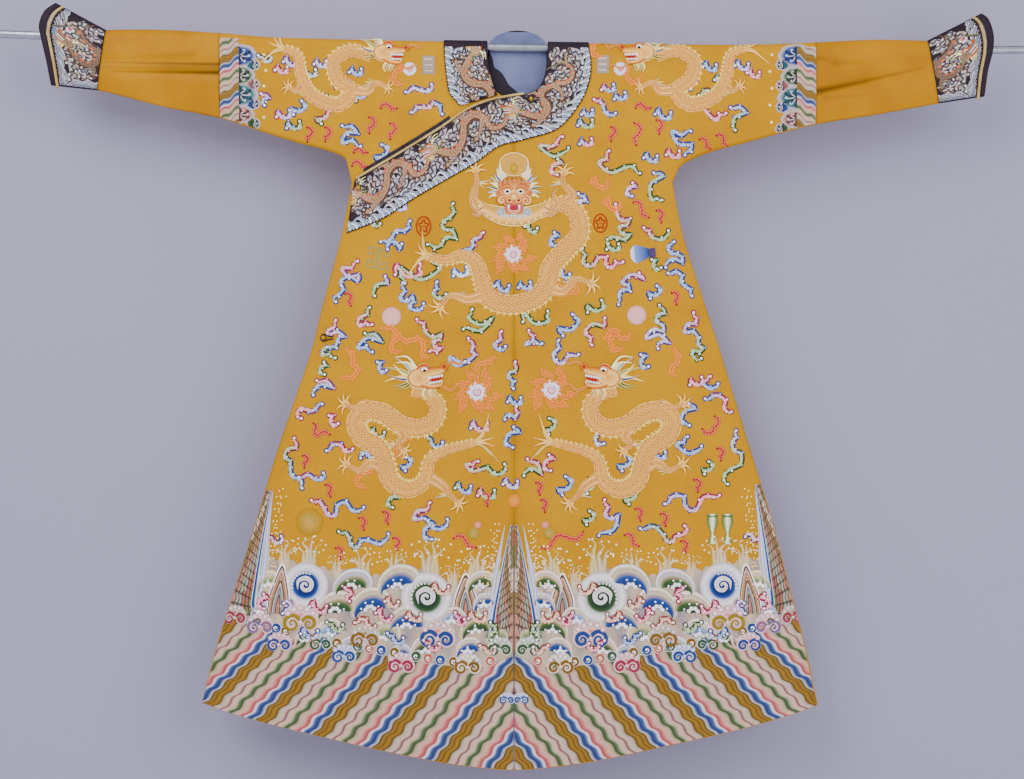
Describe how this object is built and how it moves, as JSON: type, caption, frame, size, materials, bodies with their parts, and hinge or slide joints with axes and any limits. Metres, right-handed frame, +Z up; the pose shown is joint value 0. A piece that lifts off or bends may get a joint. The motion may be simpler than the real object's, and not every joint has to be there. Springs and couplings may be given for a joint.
{
  "type": "chinese dragon robe on a rod",
  "caption": "Full-length yellow silk court robe with dragon embroidery, side-closing front and hoof-shaped cuffs, hung flat on a steel rod run through its sleeves.",
  "frame": {"origin": "on the rod's axis at the middle of the robe, where the rod holds it up", "axes": "+X to the right of someone facing the robe's front, which is the wearer's left; +Y from its front to its back; +Z up"},
  "size_m": [2.1204, 0.0636, 1.5293],
  "materials": {
    "dragon_silk": "imperial yellow silk satin, embroidered all over",
    "plain_satin": "plain yellow silk satin",
    "dark_silk": "blue-black silk with couched gold dragons, clouds and waves",
    "edging_silk": "narrow dark embroidered ribbon",
    "piping": "tan silk piping",
    "lining": "pale periwinkle silk lining",
    "gilt": "gilt cast ball button",
    "loop_cord": "dark silk cord loop",
    "steel": "round steel rod, dull bright"
  },
  "bodies": {
    "root": {"body_left": "dragon_silk", "body_right": "dragon_silk", "front_overlap": "dragon_silk", "satin_sleeve_left": "plain_satin", "satin_sleeve_right": "plain_satin", "cuff_left": "dark_silk", "cuff_right": "dark_silk", "cuff_left_edging": "edging_silk", "cuff_right_edging": "edging_silk", "cuff_left_piping": "piping", "cuff_right_piping": "piping", "band_piping": "piping", "collar_band_front": "dark_silk", "collar_band_shoulder": "dark_silk", "collar_band_back": "dark_silk", "band_edging": "edging_silk", "neck_lining": "lining", "ball_button_neck": "gilt", "ball_button_underarm": "gilt", "ball_button_side": "gilt", "button_loop_neck": "loop_cord", "button_loop_underarm": "loop_cord", "button_loop_side": "loop_cord", "rod": "steel"}
  },
  "joints": []
}
